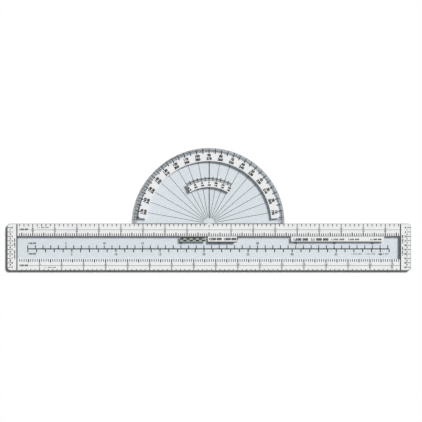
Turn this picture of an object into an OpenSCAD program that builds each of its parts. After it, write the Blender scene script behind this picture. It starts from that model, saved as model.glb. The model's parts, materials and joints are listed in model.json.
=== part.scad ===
// Navigation plotter: a clear ruler with a half-round protractor, printed with white and black ink.
// Millimetres, +Z up. The origin is on the axis of the centre hole, at the underside of the sheet.
// The ruler runs along X below the origin, and the protractor rises along +Y above it.

/* [Clear sheet] */
// Length of the ruler
ruler_length = 339.8; // [330:0.1:356]
// Width of the ruler
ruler_width = 39.7; // [36.5:0.1:48]
// Radius of the ruler's corners
corner_radius = 3; // [1.5:0.1:6]
// Radius of the protractor's rim
protractor_radius = 63.5; // [60:0.1:90]
// Thickness of the sheet
sheet_thickness = 1.6; // [1:0.1:4]
// Width of the polished bevel round the upper edge, where no ink is printed
bevel_width = 0.6; // [0.3:0.05:0.9]
// Depth of the bevel
bevel_depth = 0.2; // [0.1:0.05:0.5]
// Diameter of the centre hole, which takes a pencil point
hole_diameter = 2.4; // [1:0.1:4]

/* [Ink layers] */
// Thickness of the white ink
white_ink = 0.08; // [0.02:0.01:0.2]
// Thickness of the black ink
black_ink = 0.05; // [0.02:0.01:0.15]

/* [White grounds] */
// Width of the printed band along the ruler's upper edge
upper_band_width = 9.9; // [8.5:0.1:12]
// Width of the printed band along the ruler's lower edge
lower_band_width = 9.2; // [7.5:0.1:10]
// Distance from the ruler's left end to its upright line
left_column_width = 8.4; // [7:0.1:11]
// Distance from the ruler's right end to its upright line
right_column_width = 9; // [7:0.1:11]
// Depth of the ring between the protractor's rim and its white band
rim_scale_depth = 3.9; // [3.4:0.1:6]
// Width of the white band under the degree numbers
azimuth_band_width = 7.1; // [5:0.1:10]
// Angle left open below each end of that band
azimuth_band_margin = 4.5; // [2:0.5:4.5]
// Outer radius of the small meridian band
meridian_band_radius = 38; // [34:0.1:44]
// Width of the small meridian band
meridian_band_width = 7.3; // [6:0.1:9]
// Angle that the small meridian band spans on each side of the middle
meridian_band_reach = 31; // [30.5:0.5:39]

/* [Window panels] */
// Clear gap between the upper band and the panels
panel_gap = 0.4; // [0.2:0.05:0.8]
// Length of the long legend panel
legend_length = 77; // [50:0.5:85]
// Height of the long legend panel
legend_height = 4.2; // [3.5:0.1:5]
// Distance from the legend panel's right end to the right upright line
legend_margin = 14.9; // [10:0.1:20]
// Slant of the legend panel's right end
legend_slant = 1.4; // [0.5:0.1:3]
// Length of the short title panel
title_length = 24.3; // [15:0.1:35]
// Height of the short title panel
title_height = 4.3; // [3.5:0.1:5]
// Distance from the centre line to the title panel's left end
title_offset = -0.8; // [-1.5:0.1:10]
// Cut across the title panel's lower right corner
title_cut = 1; // [0.5:0.1:2]
// Width of the black border below and beside the title panel
title_border_width = 0.75; // [0.3:0.05:1]
// Length of the chequered bar
bar_length = 21.6; // [12:0.1:26]
// Height of the chequered bar
bar_height = 4.3; // [3.5:0.1:5]
// Gap between the chequered bar and the title panel
bar_gap = 2.1; // [1:0.1:6]
// Number of blocks along the chequered bar
bar_blocks = 8; // [2:1:12]
// White rim round the blocks
bar_rim = 0.35; // [0.2:0.05:0.5]
// White gap between the rows of the bar
bar_row_gap = 0.2; // [0.1:0.05:0.4]
// Height of the solid strip along the top of the bar
bar_strip_height = 1; // [0.6:0.1:1.4]

/* [Chart scales] */
// Chart ratio of the edge scales
edge_ratio = 500000; // [400000:10000:600000]
// Chart ratio of the fine scales along the window
fine_ratio = 1000000; // [900000:10000:1200000]
// Chart ratio of the scale in the middle of the window
middle_ratio = 250000; // [200000:5000:300000]
// Length of the ticks along the ruler's upper edge
upper_tick_length = 1.8; // [1.2:0.1:2.5]
// Length of the ticks along the ruler's lower edge
lower_tick_length = 0.8; // [0.6:0.1:1.4]
// Length of the ticks along the window
fine_tick_length = 2.2; // [1.5:0.1:2.5]
// Length of every fifth tick along the window
fine_fifth_length = 2.8; // [2.5:0.1:3.2]
// Width of every fifth tick along the window
fine_fifth_width = 0.85; // [0.4:0.05:1]
// Width of the ticks on the bands
tick_width = 0.6; // [0.2:0.05:0.8]
// Width of the lines that part the bands into five miles
division_width = 0.4; // [0.15:0.05:0.5]
// Width of the thin line along the middle of each band
mid_line_width = 0.25; // [0.1:0.05:0.4]
// Distance from the ruler's upper edge to the upper band's middle line
upper_mid_line = 5.3; // [4.8:0.1:5.6]
// Distance from the ruler's lower edge to the lower band's middle line
lower_mid_line = 4.4; // [4:0.1:4.6]
// Length that each middle line leaves free for a label at its left end
label_room = 10; // [0:0.5:15]
// Distance from a band's middle line to the gaps that the division lines leave for numbers
number_offset = 1.1; // [1.05:0.05:1.2]
// Height of these gaps
number_gap = 1.5; // [1.2:0.1:1.6]

/* [Middle scale] */
// Distance from the ruler's upper edge to the middle scale's line
middle_line_offset = 21.4; // [20.5:0.1:22]
// Distance from the left upright line to the middle scale's start
middle_start = 9; // [5:0.05:12]
// Least distance from the middle scale's end to the right upright line
middle_end = 8.8; // [5:0.1:20]
// Width of the middle scale's line
middle_line_width = 0.8; // [0.3:0.05:1]
// Width of the middle scale's ticks
middle_tick_width = 0.5; // [0.2:0.05:0.7]
// Length of the statute ticks
statute_tick_length = 2.7; // [1.5:0.1:2.9]
// Length of the nautical ticks
nautical_tick_length = 2.4; // [1.5:0.1:3]

/* [End scales] */
// Distance from the ruler's upper edge to the end scales' first tick
end_scale_start = 3.4; // [3:0.1:6]
// Least distance from the end scales' last tick to the ruler's lower edge
end_scale_margin = 1.5; // [1:0.1:6]
// Length of the left end scale's ticks
left_end_tick_length = 2.8; // [2:0.1:4.5]
// Length of the right end scale's ticks
right_end_tick_length = 2.8; // [2:0.1:4.5]
// Width of the end scales' ticks
end_tick_width = 0.45; // [0.15:0.05:0.6]
// Width of the upright lines beside the end scales
frame_line_width = 0.95; // [0.5:0.05:1.2]

/* [Protractor scales] */
// Length of the one degree ticks on the rim
degree_tick_length = 2.8; // [2:0.1:3.1]
// Width of the one degree ticks
degree_tick_width = 0.3; // [0.15:0.05:0.4]
// Width of the five degree ticks
five_degree_width = 0.8; // [0.4:0.05:0.85]
// Length that the five degree ticks reach over the white band
five_degree_overlap = 0.9; // [0.4:0.1:1.5]
// Degrees between two lines from the centre
radial_step = 10; // [5:5:30]
// Width of the lines from the centre
radial_width = 0.35; // [0.15:0.05:0.45]
// Width of the upright line at 90 degrees
upright_width = 0.5; // [0.3:0.05:0.6]
// Radius round the centre that the lines leave free
radial_start = 4.8; // [4.5:0.1:8]
// Width of the line where the protractor meets the ruler
base_line_width = 0.6; // [0.3:0.05:1]
// Width of the meridian scale's arc line
meridian_line_width = 0.5; // [0.2:0.05:0.6]
// Reach of the meridian scale on each side of the middle
meridian_reach = 30; // [10:10:30]
// Length of the meridian scale's one degree ticks
meridian_fine_length = 0.9; // [0.6:0.1:1.2]
// Length of the meridian scale's five degree ticks
meridian_five_length = 1.4; // [1.3:0.1:1.8]
// Length of the meridian scale's ten degree ticks
meridian_ten_length = 2.1; // [1.9:0.1:2.6]
// Width of the meridian scale's one degree ticks
meridian_fine_width = 0.2; // [0.1:0.05:0.25]
// Width of the meridian scale's longer ticks
meridian_long_width = 0.4; // [0.25:0.05:0.5]

/* [Hidden] */
$fn = 96;

clear_plastic = [0.81, 0.86, 0.89, 0.45];
white_colour = [0.96, 0.96, 0.95];
black_colour = [0.12, 0.13, 0.14];

// True lengths of the miles, and what they measure on the charts
nautical_mile = 1852000;
statute_mile = 1609344;
edge_pitch = nautical_mile / edge_ratio;
fine_pitch = nautical_mile / fine_ratio;
statute_pitch = statute_mile / middle_ratio;
nautical_pitch = nautical_mile / middle_ratio;
division_miles = 5;
division_pitch = division_miles * edge_pitch;

// How far a cutting shape runs past what it cuts
overrun = 1;

// Heights of the printed faces, and of the edge below the bevel
sheet_top = sheet_thickness;
white_top = sheet_top + white_ink;
straight_height = sheet_thickness - bevel_depth;

// Ruler, from its outline inwards
left_end = -ruler_length / 2;
right_end = ruler_length / 2;
lower_edge = -ruler_width;
print_top = -bevel_width;
print_bottom = lower_edge + bevel_width;
left_line = left_end + left_column_width;
right_line = right_end - right_column_width;
band_left = left_line + frame_line_width / 2;
band_right = right_line - frame_line_width / 2;
band_length = band_right - band_left;
window_top = print_top - upper_band_width;
window_bottom = print_bottom + lower_band_width;

// Protractor, from its rim inwards
rim_print_radius = protractor_radius - bevel_width;
azimuth_outer = protractor_radius - rim_scale_depth;
azimuth_inner = azimuth_outer - azimuth_band_width;
meridian_inner = meridian_band_radius - meridian_band_width;
meridian_line_radius = meridian_band_radius - meridian_line_width;

// Window panels, which hang below the upper band
panel_top = window_top - panel_gap;
legend_left = right_line - legend_margin - legend_length;
bar_left = title_offset - bar_gap - bar_length;

// Middle scale
middle_y = -middle_line_offset;
middle_left = left_line + middle_start;
middle_room = right_line - middle_end - middle_left;
statute_miles = floor(middle_room / statute_pitch);
nautical_miles = floor(middle_room / nautical_pitch);
middle_length = max(statute_miles * statute_pitch, nautical_miles * nautical_pitch);

// A flat piece of ink, given by its corner, its size and the height that it lies at
module ink_box(x, y, length, width, bottom, thickness) {
    translate([x, y, bottom])
        cube([length, width, thickness]);
}

// An upright tick, centred on x, that reaches from y to y + length
module tick(x, y, width, length, bottom) {
    ink_box(x - width / 2, y, width, length, bottom, black_ink);
}

// A tick on the line from the centre at an angle, whose far corners lie on the outer radius
module radial_tick(angle, inner, outer, width, bottom) {
    reach = sqrt(outer * outer - width * width / 4);
    rotate([0, 0, angle])
        translate([inner, -width / 2, bottom])
            cube([reach - inner, width, black_ink]);
}

// A flat ring sector between two radii and two angles
module ring_sector(inner, outer, from, to, bottom, thickness) {
    rotate([0, 0, from])
        rotate_extrude(angle = to - from)
            translate([inner, bottom])
                square([outer - inner, thickness]);
}

// The ruler's outline drawn in by an inset, with rounded corners
module ruler_outline(inset) {
    radius = corner_radius - inset;
    translate([left_end + corner_radius, lower_edge + inset])
        square([ruler_length - 2 * corner_radius, ruler_width - 2 * inset]);
    translate([left_end + inset, lower_edge + corner_radius])
        square([ruler_length - 2 * inset, ruler_width - 2 * corner_radius]);
    for (x = [left_end + corner_radius, right_end - corner_radius])
        for (y = [lower_edge + corner_radius, -corner_radius])
            translate([x, y])
                circle(r = radius);
}

// A flat bar along X that narrows upwards by a bevel on its two sides and one on its two ends
module bevelled_bar(length, width, side_bevel, end_bevel) {
    intersection() {
        rotate([90, 0, 90])
            linear_extrude(height = length)
                polygon([
                    [0, 0],
                    [width, 0],
                    [width - side_bevel, bevel_depth],
                    [side_bevel, bevel_depth]
                ]);
        translate([0, width, 0])
            rotate([90, 0, 0])
                linear_extrude(height = width)
                    polygon([
                        [0, 0],
                        [length, 0],
                        [length - end_bevel, bevel_depth],
                        [end_bevel, bevel_depth]
                    ]);
    }
}

// The top layer of the ruler, drawn in by the bevel on all four sides and round the corners
module ruler_bevel_layer() {
    translate([left_end + corner_radius, lower_edge, 0])
        bevelled_bar(ruler_length - 2 * corner_radius, ruler_width, bevel_width, 0);
    translate([left_end, lower_edge + corner_radius, 0])
        bevelled_bar(ruler_length, ruler_width - 2 * corner_radius, 0, bevel_width);
    for (x = [left_end + corner_radius, right_end - corner_radius])
        for (y = [lower_edge + corner_radius, -corner_radius])
            translate([x, y, 0])
                cylinder(h = bevel_depth, r1 = corner_radius, r2 = corner_radius - bevel_width);
}

// The half disc, whose straight side lies inside the ruler
module protractor_disc() {
    intersection() {
        rotate_extrude()
            polygon([
                [0, 0],
                [protractor_radius, 0],
                [protractor_radius, straight_height],
                [rim_print_radius, sheet_thickness],
                [0, sheet_thickness]
            ]);
        translate([-protractor_radius - overrun, lower_edge / 2, -overrun])
            cube([
                2 * (protractor_radius + overrun),
                protractor_radius - lower_edge / 2 + overrun,
                sheet_thickness + 2 * overrun
            ]);
    }
}

// Bore that runs through the sheet and all that is printed over it
module centre_bore() {
    translate([0, 0, -overrun])
        cylinder(h = sheet_thickness + 2 * overrun, d = hole_diameter);
}

// Clear plastic sheet: ruler and protractor in one piece, with the centre hole
module clear_sheet() {
    color(clear_plastic)
        difference() {
            union() {
                linear_extrude(height = straight_height)
                    ruler_outline(0);
                translate([0, 0, straight_height])
                    ruler_bevel_layer();
                protractor_disc();
            }
            centre_bore();
        }
}

// White band along the upper edge, cut away at the centre hole
module upper_scale_ground() {
    color(white_colour)
        difference() {
            ink_box(band_left, window_top, band_length, upper_band_width, sheet_top, white_ink);
            centre_bore();
        }
}

// White band along the lower edge
module lower_scale_ground() {
    color(white_colour)
        ink_box(band_left, print_bottom, band_length, lower_band_width, sheet_top, white_ink);
}

// White ground between a ruler's end and its upright line, with the ruler's own rounded corners
module end_ground(from, to) {
    color(white_colour)
        intersection() {
            translate([0, 0, sheet_top])
                linear_extrude(height = white_ink)
                    ruler_outline(bevel_width);
            ink_box(from, lower_edge, to - from, ruler_width, sheet_top, white_ink);
        }
}

module left_end_ground() {
    end_ground(left_end, left_line - frame_line_width / 2);
}

module right_end_ground() {
    end_ground(right_line + frame_line_width / 2, right_end);
}

// White half ring under the degree numbers
module azimuth_band_ground() {
    color(white_colour)
        ring_sector(azimuth_inner, azimuth_outer, azimuth_band_margin, 180 - azimuth_band_margin,
            sheet_top, white_ink);
}

// Short white ring sector under the meridian numbers
module meridian_band_ground() {
    color(white_colour)
        ring_sector(meridian_inner, meridian_band_radius, 90 - meridian_band_reach,
            90 + meridian_band_reach, sheet_top, white_ink);
}

// Long panel below the upper band, whose right end slants
module legend_panel() {
    color(white_colour)
        translate([legend_left, panel_top, sheet_top])
            linear_extrude(height = white_ink)
                polygon([
                    [0, 0],
                    [legend_length, 0],
                    [legend_length - legend_slant, -legend_height],
                    [0, -legend_height]
                ]);
}

// Short panel beside the centre line, with its lower right corner cut off
module title_panel() {
    color(white_colour)
        translate([title_offset, panel_top, sheet_top])
            linear_extrude(height = white_ink)
                polygon([
                    [0, 0],
                    [title_length, 0],
                    [title_length, title_cut - title_height],
                    [title_length - title_cut, -title_height],
                    [0, -title_height]
                ]);
}

// Black strips below the title panel and along its right end, which leave the cut corner open
module title_panel_border() {
    color(black_colour) {
        ink_box(title_offset, panel_top - title_height - title_border_width,
            title_length - title_cut, title_border_width, sheet_top, black_ink);
        ink_box(title_offset + title_length, panel_top - title_height + title_cut,
            title_border_width, title_height - title_cut, sheet_top, black_ink);
    }
}

// White ground of the chequered bar
module scale_bar_panel() {
    color(white_colour)
        ink_box(bar_left, panel_top - bar_height, bar_length, bar_height, sheet_top, white_ink);
}

// A solid strip, and below it two rows of black blocks that change places at each step
module scale_bar_blocks() {
    inner_length = bar_length - 2 * bar_rim;
    strip_bottom = panel_top - bar_rim - bar_strip_height;
    block_length = inner_length / bar_blocks;
    block_height = (bar_height - 2 * bar_rim - bar_strip_height) / 2 - bar_row_gap;
    color(black_colour) {
        ink_box(bar_left + bar_rim, strip_bottom, inner_length, bar_strip_height, white_top,
            black_ink);
        for (i = [0:bar_blocks - 1])
            ink_box(bar_left + bar_rim + i * block_length,
                strip_bottom - (1 + i % 2) * (block_height + bar_row_gap),
                block_length, block_height, white_top, black_ink);
    }
}

// Ticks that hang from the ruler's upper edge, counted both ways from the centre line
module upper_outer_scale() {
    count = floor((min(-band_left, band_right) - tick_width) / edge_pitch);
    color(black_colour)
        difference() {
            for (i = [-count:count])
                tick(i * edge_pitch, print_top - upper_tick_length, tick_width,
                    upper_tick_length, white_top);
            centre_bore();
        }
}

// Ticks that stand on the window's upper side
module upper_inner_scale() {
    count = floor((min(-band_left, band_right) - tick_width) / fine_pitch);
    color(black_colour)
        for (i = [-count:count])
            tick(i * fine_pitch, window_top, fine_width(i), fine_length(i), white_top);
}

function fine_length(i) = i % division_miles == 0 ? fine_fifth_length : fine_tick_length;

function fine_width(i) = i % division_miles == 0 ? fine_fifth_width : tick_width;

// Thin line along the upper band, and the lines that part it into five miles
module upper_division_lines() {
    count = floor((min(-band_left, band_right) - tick_width) / division_pitch);
    division_lines([for (i = [-count:count]) i * division_pitch],
        window_top + fine_fifth_length, print_top - upper_tick_length, -upper_mid_line);
}

// A band's thin middle line, which starts beside a label, and division lines that leave gaps
// for a row of numbers above it and one below it
module division_lines(places, bottom, top, middle) {
    color(black_colour) {
        ink_box(band_left + label_room, middle - mid_line_width / 2, band_length - label_room,
            mid_line_width, white_top, black_ink);
        difference() {
            for (x = places)
                tick(x, bottom, division_width, top - bottom, white_top);
            for (side = [-1, 1])
                ink_box(band_left, middle + side * number_offset - number_gap / 2, band_length,
                    number_gap, sheet_top, overrun);
        }
    }
}

// Ticks that stand on the ruler's lower edge, counted from the left upright line
module lower_outer_scale() {
    count = floor((band_length - tick_width) / edge_pitch);
    color(black_colour)
        for (i = [1:count])
            tick(band_left + i * edge_pitch, print_bottom, tick_width, lower_tick_length,
                white_top);
}

// Ticks that hang from the window's lower side
module lower_inner_scale() {
    count = floor((band_length - tick_width) / fine_pitch);
    color(black_colour)
        for (i = [1:count])
            tick(band_left + i * fine_pitch, window_bottom - fine_length(i), fine_width(i),
                fine_length(i), white_top);
}

// Thin line along the lower band, and the lines that part it into five miles
module lower_division_lines() {
    count = floor((band_length - tick_width) / division_pitch);
    division_lines([for (i = [1:count]) band_left + i * division_pitch],
        print_bottom + lower_tick_length, window_bottom - fine_fifth_length,
        lower_edge + lower_mid_line);
}

// Long line that carries both mile scales
module mile_scale_baseline() {
    color(black_colour)
        ink_box(middle_left - middle_tick_width / 2, middle_y - middle_line_width / 2,
            middle_length + middle_tick_width, middle_line_width, sheet_top, black_ink);
}

// Ticks above the long line
module statute_mile_scale() {
    color(black_colour)
        for (i = [0:statute_miles])
            tick(middle_left + i * statute_pitch, middle_y + middle_line_width / 2,
                middle_tick_width, statute_tick_length, sheet_top);
}

// Ticks below the long line
module nautical_mile_scale() {
    color(black_colour)
        for (i = [0:nautical_miles])
            tick(middle_left + i * nautical_pitch,
                middle_y - middle_line_width / 2 - nautical_tick_length,
                middle_tick_width, nautical_tick_length, sheet_top);
}

// Level ticks in a column, counted down from the ruler's upper edge
module end_scale(x, length) {
    gaps = floor((ruler_width - end_scale_start - end_scale_margin) / edge_pitch);
    color(black_colour)
        intersection() {
            for (i = [0:gaps])
                ink_box(x, -end_scale_start - i * edge_pitch - end_tick_width / 2,
                    length, end_tick_width, white_top, black_ink);
            translate([0, 0, sheet_top])
                linear_extrude(height = overrun)
                    ruler_outline(bevel_width);
        }
}

module left_end_scale() {
    end_scale(left_end + bevel_width, left_end_tick_length);
}

module right_end_scale() {
    end_scale(right_end - bevel_width - right_end_tick_length, right_end_tick_length);
}

// Upright lines between the end grounds and the bands
module frame_lines() {
    color(black_colour)
        for (x = [left_line, right_line])
            tick(x, print_bottom, frame_line_width, print_top - print_bottom, sheet_top);
}

// Line along the protractor's straight side, broken at the centre hole
module protractor_base_line() {
    start = hole_diameter / 2 + base_line_width;
    color(black_colour)
        for (side = [-1, 1])
            ink_box(side > 0 ? start : -rim_print_radius, print_top, rim_print_radius - start,
                base_line_width, sheet_top, black_ink);
}

// Ticks inside the rim: short ones at each degree, and long ones at every fifth that go on over
// the white band
module azimuth_degree_scale() {
    color(black_colour)
        for (i = [1:179])
            if (i % 5 == 0) {
                radial_tick(i, azimuth_outer, rim_print_radius, five_degree_width, sheet_top);
                radial_tick(i, azimuth_outer - five_degree_overlap, azimuth_outer,
                    five_degree_width, white_top);
            } else
                radial_tick(i, rim_print_radius - degree_tick_length, rim_print_radius,
                    degree_tick_width, sheet_top);
}

// Lines from near the centre to the white band, broken where the meridian band lies
module azimuth_radial_lines() {
    color(black_colour)
        for (angle = [radial_step:radial_step:180 - radial_step]) {
            width = angle == 90 ? upright_width : radial_width;
            if (abs(angle - 90) < meridian_band_reach) {
                radial_tick(angle, radial_start, meridian_inner, width, sheet_top);
                radial_tick(angle, meridian_band_radius, azimuth_inner, width, sheet_top);
            } else
                radial_tick(angle, radial_start, azimuth_inner, width, sheet_top);
        }
}

// Arc line along the meridian band's outer side
module meridian_baseline() {
    color(black_colour)
        ring_sector(meridian_line_radius, meridian_band_radius, 90 - meridian_reach,
            90 + meridian_reach, white_top, black_ink);
}

// Ticks that point from the arc line to the centre
module meridian_scale() {
    color(black_colour)
        for (i = [-meridian_reach:meridian_reach])
            radial_tick(90 + i, meridian_line_radius - meridian_length(i), meridian_line_radius,
                i % 5 == 0 ? meridian_long_width : meridian_fine_width, white_top);
}

function meridian_length(i) =
    i % 10 == 0 ? meridian_ten_length : (i % 5 == 0 ? meridian_five_length : meridian_fine_length);

clear_sheet();
upper_scale_ground();
lower_scale_ground();
left_end_ground();
right_end_ground();
azimuth_band_ground();
meridian_band_ground();
legend_panel();
title_panel();
title_panel_border();
scale_bar_panel();
scale_bar_blocks();
upper_outer_scale();
upper_inner_scale();
upper_division_lines();
lower_outer_scale();
lower_inner_scale();
lower_division_lines();
mile_scale_baseline();
statute_mile_scale();
nautical_mile_scale();
left_end_scale();
right_end_scale();
frame_lines();
protractor_base_line();
azimuth_degree_scale();
azimuth_radial_lines();
meridian_baseline();
meridian_scale();
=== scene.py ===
import json
import math

import bmesh
import bpy
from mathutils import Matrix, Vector
from mathutils.geometry import tessellate_polygon


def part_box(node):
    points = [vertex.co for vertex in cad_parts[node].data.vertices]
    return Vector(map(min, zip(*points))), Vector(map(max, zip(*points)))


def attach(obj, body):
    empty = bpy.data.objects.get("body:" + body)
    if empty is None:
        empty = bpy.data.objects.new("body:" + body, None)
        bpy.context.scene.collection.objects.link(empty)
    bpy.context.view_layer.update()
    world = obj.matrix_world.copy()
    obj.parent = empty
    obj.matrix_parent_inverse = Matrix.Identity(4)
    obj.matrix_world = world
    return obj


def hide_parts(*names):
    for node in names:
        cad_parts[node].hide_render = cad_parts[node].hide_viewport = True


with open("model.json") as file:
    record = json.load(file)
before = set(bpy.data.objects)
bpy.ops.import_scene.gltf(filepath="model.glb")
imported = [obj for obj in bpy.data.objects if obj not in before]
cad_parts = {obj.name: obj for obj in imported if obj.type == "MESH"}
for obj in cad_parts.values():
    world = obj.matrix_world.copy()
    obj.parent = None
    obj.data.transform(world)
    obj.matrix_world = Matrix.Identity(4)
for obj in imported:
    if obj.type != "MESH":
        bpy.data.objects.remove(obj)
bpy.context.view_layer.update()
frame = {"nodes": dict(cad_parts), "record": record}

# Looks of the navigation plotter. Sizes are in millimetres, and MM turns them into metres.
MM = 0.001

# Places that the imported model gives
sheet_low, sheet_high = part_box("clear_sheet")
left_ground_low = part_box("left_end_ground")[0]
upper_band_low, upper_band_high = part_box("upper_scale_ground")
title_low, title_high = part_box("title_panel")
legend_low, legend_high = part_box("legend_panel")
middle_low, middle_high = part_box("mile_scale_baseline")
statute_low, statute_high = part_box("statute_mile_scale")
nautical_low, nautical_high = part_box("nautical_mile_scale")
left_end_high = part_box("left_end_scale")[1]
right_end_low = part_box("right_end_scale")[0]

ruler_left, ruler_right = sheet_low.x / MM, sheet_high.x / MM
ruler_bottom = sheet_low.y / MM
sheet_top = sheet_high.z / MM
white_top = upper_band_high.z / MM
black_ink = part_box("upper_outer_scale")[1].z / MM - white_top
bevel_width = left_ground_low.x / MM - ruler_left
band_left = upper_band_low.x / MM
hole_radius = frame["record"]["mounts"][0]["dims"]["r_mm"]

# Sizes that part.scad has and no box gives
protractor_radius = 63.5
corner_radius = 3.0
bevel_depth = 0.2
upper_mid_line = -5.3
lower_mid_line = ruler_bottom + 4.4
number_offset = 1.1
middle_tick_width = 0.5
end_tick_width = 0.45
title_cut = 1.0
legend_slant = 1.4
upright_half_width = 0.25
meridian_inner, meridian_line, meridian_outer = 30.7, 37.5, 38.0
meridian_reach = 30

# True lengths of the miles on the charts
nautical_mile = 1852000.0
statute_mile = 1609344.0
edge_chart, middle_chart = 500000, 250000
end_pitch = nautical_mile / edge_chart
five_miles = 5 * end_pitch
statute_pitch, nautical_pitch = statute_mile / middle_chart, nautical_mile / middle_chart
statute_five, nautical_five = 5 * statute_pitch, 5 * nautical_pitch

# What the built-in font gives for a size of 1
DIGIT_SHARE = 0.7
DIGIT_CENTRE = 0.041


def add(tree, kind, inputs=None, **settings):
    """A new node, with its settings and with values or links for its inputs."""
    node = tree.nodes.new(kind)
    for name, value in settings.items():
        setattr(node, name, value)
    for key, value in (inputs or {}).items():
        if isinstance(value, bpy.types.NodeSocket):
            tree.links.new(value, node.inputs[key])
        else:
            node.inputs[key].default_value = value
    return node


def number_math(tree, operation, first, second):
    return add(tree, "ShaderNodeMath", {0: first, 1: second}, operation=operation).outputs[0]


def vector_of(tree, x=0.0, y=0.0, z=0.0):
    return add(tree, "ShaderNodeCombineXYZ", {0: x, 1: y, 2: z}).outputs[0]


# Geometry node trees


def new_tree(name, inputs):
    """An empty tree with these named inputs, and the node that gives them out."""
    tree = bpy.data.node_groups.new(name, "GeometryNodeTree")
    for label, kind in inputs:
        tree.interface.new_socket(label, in_out="INPUT", socket_type="NodeSocket" + kind)
    tree.interface.new_socket("Geometry", in_out="OUTPUT", socket_type="NodeSocketGeometry")
    return tree, add(tree, "NodeGroupInput").outputs


def ink_tree():
    """Turns flat curves in millimetres into closed solids of ink in metres."""
    tree, given = new_tree(
        "ink_from_curves",
        [
            ("Curves", "Geometry"),
            ("Stroke gain", "Float"),
            ("Ink bottom", "Float"),
            ("Ink thickness", "Float"),
            ("Ink", "Material"),
        ],
    )
    curve_steps = 3
    weld = 0.0001
    coarse = add(
        tree,
        "GeometryNodeSetSplineResolution",
        {"Geometry": given["Curves"], "Resolution": curve_steps},
    )
    points = add(tree, "GeometryNodeResampleCurve", {"Curve": coarse.outputs[0]}, mode="EVALUATED")
    outward = add(
        tree,
        "ShaderNodeVectorMath",
        {0: add(tree, "GeometryNodeInputTangent").outputs[0], 1: (0.0, 0.0, 1.0)},
        operation="CROSS_PRODUCT",
    )
    gain = add(
        tree,
        "ShaderNodeVectorMath",
        {0: outward.outputs[0], "Scale": given["Stroke gain"]},
        operation="SCALE",
    )
    bold = add(
        tree,
        "GeometryNodeSetPosition",
        {"Geometry": points.outputs[0], "Offset": gain.outputs[0]},
    )
    face = add(tree, "GeometryNodeFillCurve", {"Curve": bold.outputs[0]}, mode="TRIANGLES")
    raised = add(
        tree,
        "GeometryNodeExtrudeMesh",
        {
            "Mesh": face.outputs[0],
            "Offset": vector_of(tree, z=given["Ink thickness"]),
            "Individual": False,
        },
        mode="FACES",
    )
    underside = add(tree, "GeometryNodeFlipFaces", {"Mesh": face.outputs[0]})
    shell = add(tree, "GeometryNodeJoinGeometry")
    tree.links.new(raised.outputs[0], shell.inputs[0])
    tree.links.new(underside.outputs[0], shell.inputs[0])
    closed = add(
        tree, "GeometryNodeMergeByDistance", {"Geometry": shell.outputs[0], "Distance": weld}
    )
    lifted = add(
        tree,
        "GeometryNodeTransform",
        {"Geometry": closed.outputs[0], "Translation": vector_of(tree, z=given["Ink bottom"])},
    )
    metres = add(
        tree, "GeometryNodeTransform", {"Geometry": lifted.outputs[0], "Scale": (MM, MM, MM)}
    )
    real = add(tree, "GeometryNodeRealizeInstances", {"Geometry": metres.outputs[0]})
    inked = add(
        tree,
        "GeometryNodeSetMaterial",
        {"Geometry": real.outputs[0], "Material": given["Ink"]},
    )
    add(tree, "NodeGroupOutput", {"Geometry": inked.outputs[0]})
    return tree


def written(tree, text, height, spacing):
    """Curves of a text, centred on the origin, with digits of this height."""
    size = number_math(tree, "DIVIDE", height, DIGIT_SHARE)
    letters = add(
        tree,
        "GeometryNodeStringToCurves",
        {"String": text, "Size": size, "Character Spacing": spacing},
        align_x="CENTER",
        align_y="MIDDLE",
    )
    real = add(tree, "GeometryNodeRealizeInstances", {"Geometry": letters.outputs[0]})
    drop = number_math(tree, "MULTIPLY", size, -DIGIT_CENTRE)
    centred = add(
        tree,
        "GeometryNodeTransform",
        {"Geometry": real.outputs[0], "Translation": vector_of(tree, y=drop)},
    )
    return centred.outputs[0]


def into_ink(tree, press, curves, given):
    """The closing nodes of a tree, which print its curves."""
    printed = add(tree, "GeometryNodeGroup", node_tree=press)
    tree.links.new(curves, printed.inputs["Curves"])
    for label in ("Stroke gain", "Ink bottom", "Ink thickness", "Ink"):
        tree.links.new(given[label], printed.inputs[label])
    real = add(tree, "GeometryNodeRealizeInstances", {"Geometry": printed.outputs[0]})
    inked = add(
        tree, "GeometryNodeSetMaterial", {"Geometry": real.outputs[0], "Material": given["Ink"]}
    )
    add(tree, "NodeGroupOutput", {"Geometry": inked.outputs[0]})


PRINT_INPUTS = [
    ("Digit height", "Float"),
    ("Spacing", "Float"),
    ("Stroke gain", "Float"),
    ("Ink bottom", "Float"),
    ("Ink thickness", "Float"),
    ("Ink", "Material"),
]


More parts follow.
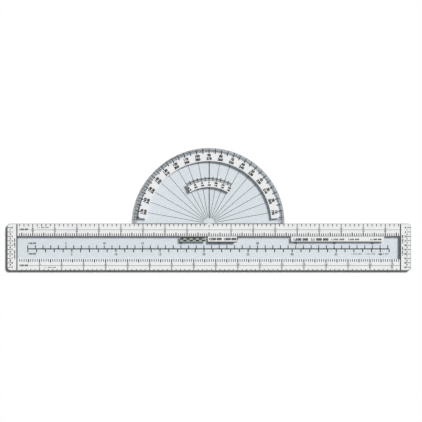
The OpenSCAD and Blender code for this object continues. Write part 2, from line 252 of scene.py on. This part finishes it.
def number_row_tree(press):
    """Numbers at equal steps along a line, or round the origin on an arc."""
    tree, given = new_tree(
        "number_row",
        [
            ("First number", "Int"),
            ("Number step", "Int"),
            ("Count", "Int"),
            ("Start", "Float"),
            ("Pitch", "Float"),
            ("Row", "Float"),
            ("Row pitch", "Float"),
            ("Turn", "Float"),
            ("Turn step", "Float"),
            *PRINT_INPUTS,
        ],
    )
    full_turn = 360.0
    first = add(tree, "GeometryNodeRepeatInput")
    last = add(tree, "GeometryNodeRepeatOutput")
    first.pair_with_output(last)
    tree.links.new(given["Count"], first.inputs["Iterations"])
    i = first.outputs["Iteration"]

    def series(start, step):
        return number_math(
            tree, "ADD", given[start], number_math(tree, "MULTIPLY", given[step], i)
        )

    number = number_math(
        tree, "FLOORED_MODULO", series("First number", "Number step"), full_turn
    )
    text = add(tree, "FunctionNodeValueToString", {"Value": number}, data_type="FLOAT")
    place = vector_of(tree, series("Start", "Pitch"), series("Row", "Row pitch"))
    moved = add(
        tree,
        "GeometryNodeTransform",
        {
            "Geometry": written(tree, text.outputs[0], given["Digit height"], given["Spacing"]),
            "Translation": place,
        },
    )
    angle = vector_of(tree, z=series("Turn", "Turn step"))
    turned = add(
        tree, "GeometryNodeTransform", {"Geometry": moved.outputs[0], "Rotation": angle}
    )
    joined = add(tree, "GeometryNodeJoinGeometry")
    tree.links.new(first.outputs["Geometry"], joined.inputs[0])
    tree.links.new(turned.outputs[0], joined.inputs[0])
    tree.links.new(joined.outputs[0], last.inputs["Geometry"])
    into_ink(tree, press, last.outputs["Geometry"], given)
    return tree


def label_tree(press):
    """One printed chart ratio, turned and then placed."""
    tree, given = new_tree(
        "ratio_label",
        [
            ("Text", "String"),
            ("X", "Float"),
            ("Y", "Float"),
            ("Turn", "Float"),
            *PRINT_INPUTS,
        ],
    )
    placed = add(
        tree,
        "GeometryNodeTransform",
        {
            "Geometry": written(tree, given["Text"], given["Digit height"], given["Spacing"]),
            "Translation": vector_of(tree, given["X"], given["Y"]),
            "Rotation": vector_of(tree, z=given["Turn"]),
        },
    )
    into_ink(tree, press, placed.outputs[0], given)
    return tree


def tick_tree():
    """Ticks in a row or round the origin, as closed solids of ink in metres."""
    tree, given = new_tree(
        "tick_row",
        [
            ("Count", "Int"),
            ("Turn", "Float"),
            ("Turn step", "Float"),
            ("Side shift", "Float"),
            ("Side step", "Float"),
            ("Inner end", "Float"),
            ("Outer end", "Float"),
            ("Width", "Float"),
            ("Ink bottom", "Float"),
            ("Ink thickness", "Float"),
            ("Ink", "Material"),
        ],
    )
    half = 0.5
    length = number_math(tree, "SUBTRACT", given["Outer end"], given["Inner end"])
    reach = number_math(tree, "ADD", given["Outer end"], given["Inner end"])
    middle = number_math(tree, "MULTIPLY", reach, half)
    half_ink = number_math(tree, "MULTIPLY", given["Ink thickness"], half)
    height = number_math(tree, "ADD", given["Ink bottom"], half_ink)
    block = add(
        tree,
        "GeometryNodeMeshCube",
        {"Size": vector_of(tree, given["Width"], length, given["Ink thickness"])},
    )
    placed = add(
        tree,
        "GeometryNodeTransform",
        {
            "Geometry": block.outputs[0],
            "Translation": vector_of(tree, given["Side shift"], middle, height),
        },
    )
    points = add(
        tree,
        "GeometryNodeMeshLine",
        {"Count": given["Count"], "Offset": vector_of(tree, given["Side step"])},
    )
    index = add(tree, "GeometryNodeInputIndex").outputs[0]
    steps = number_math(tree, "MULTIPLY", given["Turn step"], index)
    turn = number_math(tree, "ADD", given["Turn"], steps)
    ticks = add(
        tree,
        "GeometryNodeInstanceOnPoints",
        {
            "Points": points.outputs[0],
            "Instance": placed.outputs[0],
            "Rotation": vector_of(tree, z=turn),
        },
    )
    metres = add(
        tree, "GeometryNodeTransform", {"Geometry": ticks.outputs[0], "Scale": (MM, MM, MM)}
    )
    real = add(tree, "GeometryNodeRealizeInstances", {"Geometry": metres.outputs[0]})
    inked = add(
        tree, "GeometryNodeSetMaterial", {"Geometry": real.outputs[0], "Material": given["Ink"]}
    )
    add(tree, "NodeGroupOutput", {"Geometry": inked.outputs[0]})
    return tree


def grown(tree, settings):
    """The mesh that a tree makes from these values of its named inputs."""
    holder = bpy.data.objects.new("holder", bpy.data.meshes.new("holder"))
    bpy.context.scene.collection.objects.link(holder)
    modifier = holder.modifiers.new("grow", "NODES")
    modifier.node_group = tree
    for item in tree.interface.items_tree:
        if item.in_out == "INPUT":
            modifier[item.identifier] = settings[item.name]
    made = bpy.data.meshes.new_from_object(
        holder.evaluated_get(bpy.context.evaluated_depsgraph_get())
    )
    bpy.data.objects.remove(holder)
    return made


# Materials


def object_place(tree, scale=(1.0, 1.0, 1.0)):
    """Object coordinates, stretched along the axes."""
    coordinates = add(tree, "ShaderNodeTexCoord").outputs["Object"]
    return add(tree, "ShaderNodeMapping", {"Vector": coordinates, "Scale": scale}).outputs[0]


def noise(tree, place, per_metre, detail=3.0):
    """A noise between 0 and 1 with so many features to the metre."""
    return add(
        tree,
        "ShaderNodeTexNoise",
        {"Vector": place, "Scale": per_metre, "Detail": detail},
    ).outputs[0]


def spread(tree, value, low, high, darkest=0.3, lightest=0.7):
    """A noise's middle range spread over other limits."""
    return add(
        tree,
        "ShaderNodeMapRange",
        {"Value": value, 1: darkest, 2: lightest, 3: low, 4: high},
    ).outputs[0]


def blend(tree, factor, first, second):
    return add(
        tree,
        "ShaderNodeMix",
        {0: factor, 6: (*first, 1.0), 7: (*second, 1.0)},
        data_type="RGBA",
    ).outputs[2]


def new_material(name):
    material = bpy.data.materials.new(name)
    material.use_nodes = True
    return material, material.node_tree, material.node_tree.nodes["Principled BSDF"]


def bumped(tree, shader, height, depth, strength):
    bump = add(tree, "ShaderNodeBump", {"Height": height, "Distance": depth, "Strength": strength})
    tree.links.new(bump.outputs[0], shader.inputs["Normal"])


def screen_ink(name, thin, thick, rough_low=0.42, rough_high=0.6):
    """Ink pressed through a fine screen: grain, cloudy cover and a satin skin."""
    grains_per_metre, clouds_per_metre = 4500.0, 140.0
    grain_share, cloud_share = 0.4, 0.6
    grain_depth, grain_strength = 0.01 * MM, 0.5
    satin = 0.22
    material, tree, shader = new_material(name)
    place = object_place(tree)
    grain = noise(tree, place, grains_per_metre)
    cloud = noise(tree, place, clouds_per_metre)
    cover = number_math(
        tree,
        "ADD",
        number_math(tree, "MULTIPLY", grain, grain_share),
        number_math(tree, "MULTIPLY", cloud, cloud_share),
    )
    colour = blend(tree, spread(tree, cover, 0.0, 1.0), thin, thick)
    tree.links.new(colour, shader.inputs["Base Color"])
    tree.links.new(spread(tree, cloud, rough_low, rough_high), shader.inputs["Roughness"])
    bumped(tree, shader, grain, grain_depth, grain_strength)
    shader.inputs["Specular IOR Level"].default_value = satin
    return material


def clear_plastic(name, tint_low, tint_high, alpha, rough_low, rough_high):
    """Clear sheet with a faint tint, sleeve scratches and a polished skin."""
    clouds_per_metre, scratch_detail = 12.0, 4.0
    along_ruler, across_ruler = (6.0, 1400.0, 1.0), (900.0, 14.0, 1.0)
    faintest, deepest = 0.5, 0.8
    scratch_depth, scratch_strength = 0.003 * MM, 0.4
    refraction = 1.49
    material, tree, shader = new_material(name)
    cloud = noise(tree, object_place(tree), clouds_per_metre)
    scratches = number_math(
        tree,
        "MAXIMUM",
        noise(tree, object_place(tree, along_ruler), 1.0, scratch_detail),
        noise(tree, object_place(tree, across_ruler), 1.0, scratch_detail),
    )
    colour = blend(tree, spread(tree, cloud, 0.0, 1.0), tint_low, tint_high)
    rough = spread(tree, scratches, rough_low, rough_high, faintest, deepest)
    tree.links.new(colour, shader.inputs["Base Color"])
    tree.links.new(rough, shader.inputs["Roughness"])
    bumped(tree, shader, scratches, scratch_depth, scratch_strength)
    shader.inputs["IOR"].default_value = refraction
    shader.inputs["Alpha"].default_value = alpha
    return material


WHITE_INK = screen_ink("white_screen_ink", (0.79, 0.8, 0.81), (0.86, 0.86, 0.86))
GREY_INK = screen_ink("grey_screen_ink", (0.34, 0.365, 0.33), (0.4, 0.425, 0.39))
BLACK_INK = screen_ink(
    "black_screen_ink", (0.02, 0.022, 0.024), (0.009, 0.01, 0.011), rough_low=0.4
)
SHEET_FACE = clear_plastic(
    "clear_sheet_face", (0.37, 0.5, 0.59), (0.43, 0.56, 0.65),
    alpha=0.15, rough_low=0.06, rough_high=0.25
)
# Painted edge shade: the clear bevel is made a near-opaque grey, so that it shows as the dark line
# along a clear sheet's edge and throws a dark shadow line, standing in for the light that
# refraction turns away there
BEVEL_EDGE_SHADE = clear_plastic(
    "bevel_painted_edge_shade", (0.26, 0.28, 0.28), (0.33, 0.35, 0.35),
    alpha=0.9, rough_low=0.12, rough_high=0.3
)
SHEET_WALL = clear_plastic(
    "sawn_edge", (0.16, 0.22, 0.22), (0.24, 0.31, 0.31),
    alpha=0.3, rough_low=0.25, rough_high=0.45
)

# Pieces

# Fine print on the clear sheet, whose real strokes are too thin to throw a shadow that shows
HAIRLINES = (
    "mile_scale_baseline", "statute_mile_scale", "nautical_mile_scale", "azimuth_radial_lines"
)


def finish_piece(name, mesh):
    """An object of this mesh that rides on the one body."""
    piece = bpy.data.objects.new(name, mesh)
    mesh.name = name
    bpy.context.scene.collection.objects.link(piece)
    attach(piece, "root")
    return piece


def arc(centre, radius, start, end, steps):
    """Points along an arc, from one angle in degrees to another."""
    angles = [math.radians(start + (end - start) * i / steps) for i in range(steps + 1)]
    return [
        (centre[0] + radius * math.cos(a), centre[1] + radius * math.sin(a)) for a in angles
    ]


def sheet_outline(inset):
    """The outline of ruler and protractor, drawn in by an inset, counter-clockwise."""
    corner_steps, rim_steps = 24, 360
    radius = corner_radius - inset
    rim = protractor_radius - inset
    dip = math.degrees(math.asin(-inset / rim))
    left, right = ruler_left + corner_radius, ruler_right - corner_radius
    low, high = ruler_bottom + corner_radius, -corner_radius
    return (
        arc((left, low), radius, 180, 270, corner_steps)
        + arc((right, low), radius, 270, 360, corner_steps)
        + arc((right, high), radius, 0, 90, corner_steps)
        + arc((0, 0), rim, dip, 180 - dip, rim_steps)
        + arc((left, high), radius, 90, 180, corner_steps)
    )


def ring(bm, points, height):
    return [bm.verts.new((x * MM, y * MM, height * MM)) for x, y in points]


def wall(bm, lower, upper, material):
    """Faces between two rings of the same number of points."""
    for i in range(len(lower)):
        j = (i + 1) % len(lower)
        bm.faces.new((lower[i], lower[j], upper[j], upper[i])).material_index = material


def cap(bm, outer, inner, material):
    """Triangles between an outline and the hole in it."""
    corners = outer + inner
    for triangle in tessellate_polygon([[v.co for v in outer], [v.co for v in inner]]):
        bm.faces.new([corners[i] for i in triangle]).material_index = material


def clear_sheet():
    """The whole plastic sheet: flat faces, bevelled upper edge, side wall and centre hole."""
    face, bevel, side = range(3)
    hole_steps = 64
    hole = arc((0, 0), hole_radius, 0, 360 - 360 / hole_steps, hole_steps - 1)
    bm = bmesh.new()
    bottom = ring(bm, sheet_outline(0), 0)
    shoulder = ring(bm, sheet_outline(0), sheet_top - bevel_depth)
    top = ring(bm, sheet_outline(bevel_width), sheet_top)
    hole_bottom, hole_top = ring(bm, hole, 0), ring(bm, hole, sheet_top)
    wall(bm, bottom, shoulder, side)
    wall(bm, shoulder, top, bevel)
    wall(bm, hole_bottom, hole_top, side)
    cap(bm, top, hole_top, face)
    cap(bm, bottom, hole_bottom, face)
    bmesh.ops.recalc_face_normals(bm, faces=bm.faces)
    mesh = bpy.data.meshes.new("clear_plastic_sheet")
    bm.to_mesh(mesh)
    bm.free()
    for material in (SHEET_FACE, BEVEL_EDGE_SHADE, SHEET_WALL):
        mesh.materials.append(material)
    piece = finish_piece("clear_plastic_sheet", mesh)
    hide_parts("clear_sheet")


def ink_the_nodes():
    """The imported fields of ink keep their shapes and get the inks' materials."""
    inks = {"white_ink": WHITE_INK, "black_ink": BLACK_INK}
    own_inks = {"scale_bar_panel": GREY_INK}
    for part in frame["record"]["subparts"]:
        node = part["node"]
        ink = own_inks.get(node, inks.get(part["material_slot"]))
        if ink is not None:
            field = frame["nodes"][node]
            field.data.materials.clear()
            field.data.materials.append(ink)
            field.visible_shadow = node not in HAIRLINES


press = ink_tree()
number_rows = number_row_tree(press)
ratio_labels = label_tree(press)
tick_rows = tick_tree()


def ink_settings(height, on_white, gain, spacing):
    return {
        "Digit height": height,
        "Spacing": spacing,
        "Stroke gain": gain,
        "Ink bottom": white_top if on_white else sheet_top,
        "Ink thickness": black_ink,
        "Ink": BLACK_INK,
    }


def numbers(
    first, step, count, start=0.0, pitch=0.0, row=0.0, row_pitch=0.0, turn=0.0, turn_step=0.0,
    height=1.2, on_white=True, gain=0.0, spacing=1.0
):
    """One row or arc of numbers, as a mesh."""
    return grown(
        number_rows,
        {
            "First number": first,
            "Number step": step,
            "Count": count,
            "Start": start,
            "Pitch": pitch,
            "Row": row,
            "Row pitch": row_pitch,
            "Turn": math.radians(turn),
            "Turn step": math.radians(turn_step),
            **ink_settings(height, on_white, gain, spacing),
        },
    )


def ratio(text, x, y, height, turn=0.0, on_white=True, gain=0.0, spacing=1.0):
    """One chart ratio, as a mesh."""
    return grown(
        ratio_labels,
        {
            "Text": text,
            "X": x,
            "Y": y,
            "Turn": math.radians(turn),
            **ink_settings(height, on_white, gain, spacing),
        },
    )


def ticks(
    count, inner, outer, width, turn=0.0, turn_step=0.0, shift=0.0, pitch=0.0, on_white=False
):
    """Ticks in a row or round the centre hole, as a mesh."""
    return grown(
        tick_rows,
        {
            "Count": count,
            "Turn": math.radians(turn),
            "Turn step": math.radians(turn_step),
            "Side shift": shift,
            "Side step": pitch,
            "Inner end": inner,
            "Outer end": outer,
            "Width": width,
            "Ink bottom": white_top if on_white else sheet_top,
            "Ink thickness": black_ink,
            "Ink": BLACK_INK,
        },
    )


def print_piece(name, meshes, shadow=True):
    """One piece from several meshes of the same ink."""
    bm = bmesh.new()
    for mesh in meshes:
        bm.from_mesh(mesh)
        bpy.data.meshes.remove(mesh)
    joined = bpy.data.meshes.new(name)
    bm.to_mesh(joined)
    bm.free()
    joined.materials.append(BLACK_INK)
    finish_piece(name, joined).visible_shadow = shadow


def band_numbers():
    """Miles beside the division lines of both long bands."""
    height, gain = 1.3, 0.03
    upper_count, lower_count = 8, 17
    outer, inner = 5, 10
    upper = []
    for side in (-1, 1):
        for step, row in ((outer, upper_mid_line + number_offset),
                          (inner, upper_mid_line - number_offset)):
            upper.append(numbers(step, step, upper_count, side * five_miles, side * five_miles,
                                 row, height=height, gain=gain))
    print_piece("upper_band_numbers", upper)
    lower = [
        numbers(step, step, lower_count, band_left + five_miles, five_miles, row, height=height,
                gain=gain)
        for step, row in ((outer, lower_mid_line - number_offset),
                          (inner, lower_mid_line + number_offset))
    ]
    print_piece("lower_band_numbers", lower)


def middle_numbers():
    """Miles above and below the long line in the window."""
    height, gain = 1.8, 0.08
    start = middle_low.x / MM + middle_tick_width / 2
    middle = (middle_low.y + middle_high.y) / 2 / MM
    lift, drop = 4.8, 4.5
    step, statute_count, nautical_count = 5, 9, 8
    print_piece(
        "statute_mile_numbers",
        [numbers(step, step, statute_count, start + statute_five, statute_five, middle + lift,
                 height=height, on_white=False, gain=gain)],
        shadow=False,
    )
    print_piece(
        "nautical_mile_numbers",
        [numbers(step, step, nautical_count, start + nautical_five, nautical_five,
                 middle - drop, height=height, on_white=False, gain=gain)],
        shadow=False,
    )


def end_numbers():
    """Digits beside the ticks of both end scales and between them."""
    first_tick = left_end_high.y / MM - end_tick_width / 2
    first_between = first_tick - end_pitch / 2
    left_x, right_x = left_end_high.x / MM, right_end_low.x / MM
    between_left, beside_left = left_x - 0.6, left_x + 1.0
    between_right, beside_right = right_x - 0.1, right_x - 1.4
    between_count, beside_count = 9, 10
    small, large, gain, bold = 1.3, 1.4, 0.1, 0.18
    print_piece(
        "left_end_numbers",
        [
            numbers(1, 1, between_count, between_left, row=first_between, row_pitch=-end_pitch,
                    height=small, gain=bold),
            numbers(0, 1, beside_count, beside_left, row=first_tick, row_pitch=-end_pitch,
                    height=large, gain=gain),
        ],
    )
    print_piece(
        "right_end_numbers",
        [
            numbers(1, 1, between_count, between_right, row=first_between, row_pitch=-end_pitch,
                    height=small, gain=gain),
            numbers(0, 5, beside_count, beside_right, row=first_tick, row_pitch=-end_pitch,
                    height=large, gain=gain),
        ],
    )


def protractor_numbers():
    """Two rings of degrees on the wide band and two on the small one."""
    large, large_gain = 2.0, 0.22
    small, small_gain = 1.25, 0.16
    step, opposite = 10, 180
    azimuth_count, azimuth_outer_row, azimuth_inner_row = 17, 57.3, 54.5
    meridian_count, meridian_outer_row, meridian_inner_row = 7, 34.4, 32.3
    azimuth = {"turn": -80, "turn_step": step, "height": large, "gain": large_gain}
    meridian = {
        "turn": meridian_reach, "turn_step": -step, "height": small, "gain": small_gain
    }
    print_piece(
        "azimuth_numbers",
        [
            numbers(step, step, azimuth_count, row=azimuth_outer_row, **azimuth),
            numbers(step + opposite, step, azimuth_count, row=azimuth_inner_row, **azimuth),
        ],
    )
    first = meridian_reach
    print_piece(
        "meridian_numbers",
        [
            numbers(first, -step, meridian_count, row=meridian_outer_row, **meridian),
            numbers(first + opposite, -step, meridian_count, row=meridian_inner_row, **meridian),
        ],
    )


def upright_line():
    """Second pass of ink beside the protractor's upright line."""
    width, start, under_band = 0.24, 4.0, 53.0
    shift = upright_half_width + width / 2
    print_piece(
        "upright_line_second_pass",
        [
            ticks(1, start, meridian_inner, width, shift=shift),
            ticks(1, meridian_outer, under_band, width, shift=shift),
        ],
        shadow=False,
    )


def middle_scale():
    """Second pass of ink above the middle scale's line and beside its ticks."""
    line_pass, upper_pass, lower_pass = 0.1, 0.2, 0.3
    line_top, line_bottom = middle_high.y / MM, middle_low.y / MM
    line_centre = (middle_low.x + middle_high.x) / 2 / MM
    line_length = (middle_high.x - middle_low.x) / MM
    first_edge = middle_low.x / MM + middle_tick_width
    upper_end, lower_end = statute_high.y / MM, nautical_low.y / MM
    upper_count = round((statute_high.x - statute_low.x) / MM / statute_pitch) + 1
    lower_count = round((nautical_high.x - nautical_low.x) / MM / nautical_pitch) + 1
    print_piece(
        "mile_scale_second_pass",
        [
            ticks(1, line_top, line_top + line_pass, line_length, shift=line_centre),
            ticks(upper_count, line_top + line_pass, upper_end, upper_pass,
                  shift=first_edge + upper_pass / 2, pitch=statute_pitch),
            ticks(lower_count, lower_end, line_bottom, lower_pass,
                  shift=first_edge + lower_pass / 2, pitch=nautical_pitch),
        ],
        shadow=False,
    )


def title_corner():
    """Black ink that carries the title panel's lower border on to its end."""
    border_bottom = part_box("title_panel_border")[0].y / MM
    title_right, title_bottom = title_high.x / MM, title_low.y / MM
    corner = ticks(
        1, border_bottom, title_bottom, title_cut, shift=title_right - title_cut / 2
    )
    print_piece("title_border_corner", [corner], shadow=False)


def meridian_ticks():
    """Ticks that carry the small band's scale further outwards and inwards."""
    fine, outer_bold, inner_bold = 0.25, 0.7, 0.55
    outer_fine_end, outer_bold_end = meridian_outer + 0.9, meridian_outer + 1.4
    inner_fine_end, inner_bold_end = meridian_line - 1.8, meridian_line - 1.9
    bold_step = 5
    fine_count = 2 * meridian_reach + 1
    bold_count = 2 * meridian_reach // bold_step + 1
    by_one = {"turn": -meridian_reach, "turn_step": 1}
    by_five = {"turn": -meridian_reach, "turn_step": bold_step}
    print_piece(
        "meridian_outer_ticks",
        [
            ticks(fine_count, meridian_outer, outer_fine_end, fine, **by_one),
            ticks(bold_count, meridian_outer, outer_bold_end, outer_bold, **by_five),
        ],
        shadow=False,
    )
    print_piece(
        "meridian_inner_ticks",
        [
            ticks(fine_count, inner_fine_end, meridian_line, fine, on_white=True, **by_one),
            ticks(bold_count, inner_bold_end, meridian_line, inner_bold, on_white=True, **by_five),
        ],
    )


def panel_tip():
    """White ink that carries the legend panel on to its full length."""
    right, top, bottom = legend_high.x / MM, legend_high.y / MM, legend_low.y / MM
    top_reach, bottom_reach = 1.2, 0.5
    corners = [
        (right - legend_slant, bottom), (right + bottom_reach, bottom), (right + top_reach, top),
        (right, top)
    ]
    bm = bmesh.new()
    low, high = ring(bm, corners, sheet_top), ring(bm, corners, white_top)
    wall(bm, low, high, 0)
    bm.faces.new(low)
    bm.faces.new(high)
    bmesh.ops.recalc_face_normals(bm, faces=bm.faces)
    mesh = bpy.data.meshes.new("legend_panel_tip")
    bm.to_mesh(mesh)
    bm.free()
    mesh.materials.append(WHITE_INK)
    finish_piece("legend_panel_tip", mesh)


def band_ratios():
    """Plain chart ratios in the places of the words on both long bands."""
    outer_x, outer_lift = -156.0, (0.35, 0.1)
    upper_x, upper_y = -139.6, -3.3
    lower_x, lower_y = -133.6, -36.9
    large, large_gain = 1.4, 0.1
    small = {"height": 0.95, "gain": 0.06, "spacing": 1.45}
    print_piece(
        "band_ratios",
        [
            ratio("1:500 000", outer_x, upper_mid_line + outer_lift[0], large, gain=large_gain),
            ratio("1:500 000", outer_x, lower_mid_line + outer_lift[1], large, gain=large_gain),
            ratio("1:1 000 000", upper_x, upper_y, **small),
            ratio("1:1 000 000", lower_x, lower_y, **small),
        ],
    )


def window_ratios():
    """Plain chart ratios in the places of the words along the middle scale."""
    left_x, upper_y, lower_y = -148.8, -16.6, -25.5
    right_x, right_y = 135.1, -25.6
    left = {"height": 1.2, "gain": 0.11, "on_white": False}
    right = {"height": 1.05, "gain": 0.05, "spacing": 1.45, "on_white": False}
    print_piece(
        "window_ratios",
        [
            ratio("1:250 000", left_x, upper_y, **left),
            ratio("1:250 000", left_x, lower_y, **left),
            ratio("1:250 000   1:250 000   1:250 000", right_x, right_y, **right),
        ],
        shadow=False,
    )


def end_ratios():
    """Plain chart ratios in the places of the words on both ends."""
    left_x, left_y = -163.4, -21.5
    right_x, right_y = 162.7, -18.4
    upwards = {"height": 1.0, "turn": 90, "gain": 0.1, "spacing": 1.35}
    print_piece(
        "end_ratios",
        [
            ratio("1:500 000   1:500 000", left_x, left_y, **upwards),
            ratio("1:500 000   1:500 000", right_x, right_y, **upwards),
        ],
    )


def panel_ratios():
    """Plain chart ratios in the places of the words on the title and legend panels."""
    title = (title_low + title_high) / 2 / MM
    left = legend_low.x / MM
    row = (legend_low.y + legend_high.y) / 2 / MM - 0.4
    first, second, third, fourth = left + 16.5, left + 39.0, left + 52.4, left + 71.0
    bold = {"height": 2.0, "gain": 0.2, "spacing": 1.1}
    wide = {"height": 1.4, "gain": 0.13, "spacing": 1.4}
    print_piece(
        "panel_ratios",
        [
            ratio("1:250 000  1:500 000", title.x, title.y, 1.9, gain=0.2),
            ratio("1:500 000  1:1 000 000", first, row, **bold),
            ratio("1:500 000", second, row, **wide),
            ratio("1:500 000", third, row, 1.3, gain=0.11, spacing=1.25),
            ratio("1:1 000 000", fourth, row, 1.3, gain=0.11, spacing=1.1),
        ],
    )


clear_sheet()
ink_the_nodes()
band_numbers()
middle_numbers()
end_numbers()
protractor_numbers()
upright_line()
middle_scale()
title_corner()
meridian_ticks()
panel_tip()
band_ratios()
window_ratios()
end_ratios()
panel_ratios()

# Stage, light and camera


def floor():
    """A plain white table top just under the sheet."""
    reach, drop = 15.0, 0.02 * MM
    bm = bmesh.new()
    bm.faces.new([
        bm.verts.new((x * reach, y * reach, -drop)) for x, y in ((-1, -1), (1, -1), (1, 1), (-1, 1))
    ])
    mesh = bpy.data.meshes.new("table_top")
    bm.to_mesh(mesh)
    bm.free()
    material, _, shader = new_material("table_white")
    shader.inputs["Base Color"].default_value = (1.0, 1.0, 1.0, 1.0)
    shader.inputs["Roughness"].default_value = 1.0
    shader.inputs["Specular IOR Level"].default_value = 0.0
    mesh.materials.append(material)
    table = bpy.data.objects.new("table_top", mesh)
    bpy.context.scene.collection.objects.link(table)


def sun():
    """A soft lamp from the upper right, which throws short shadows to the lower left."""
    slope, spread_angle = 1.15, 15
    floor_light = 0.87
    towards = Vector((slope, slope, 1.0)).normalized()
    lamp = bpy.data.lights.new("key_lamp", "SUN")
    lamp.angle = math.radians(spread_angle)
    lamp.energy = floor_light * math.pi / towards.z
    holder = bpy.data.objects.new("key_lamp", lamp)
    holder.rotation_euler = towards.to_track_quat("Z", "Y").to_euler()
    bpy.context.scene.collection.objects.link(holder)


def surroundings():
    """Even fill light, with plain white where the camera, gloss or glass looks past the table."""
    fill = 0.13
    world = bpy.data.worlds.new("studio")
    world.use_nodes = True
    tree = world.node_tree
    rays = add(tree, "ShaderNodeLightPath").outputs
    seen = number_math(
        tree, "MAXIMUM", rays["Is Camera Ray"],
        number_math(tree, "MAXIMUM", rays["Is Glossy Ray"], rays["Is Transmission Ray"]),
    )
    background = tree.nodes["Background"]
    background.inputs["Color"].default_value = (1.0, 1.0, 1.0, 1.0)
    tree.links.new(spread(tree, seen, fill, 1.0, 0.0, 1.0), background.inputs["Strength"])
    bpy.context.scene.world = world


def camera():
    """Straight down, with the photograph's framing."""
    view_width = 355.0
    view_centre = (1.64, 10.5)
    lens, sensor = 200.0, 36.0
    farthest_seen = 100.0
    data = bpy.data.cameras.new("camera")
    data.lens, data.sensor_width = lens, sensor
    data.clip_end = farthest_seen
    eye = bpy.data.objects.new("camera", data)
    eye.location = (view_centre[0] * MM, view_centre[1] * MM, view_width * MM * lens / sensor)
    bpy.context.scene.collection.objects.link(eye)
    bpy.context.scene.camera = eye


floor()
sun()
surroundings()
camera()
bpy.context.scene.view_settings.view_transform = "Standard"
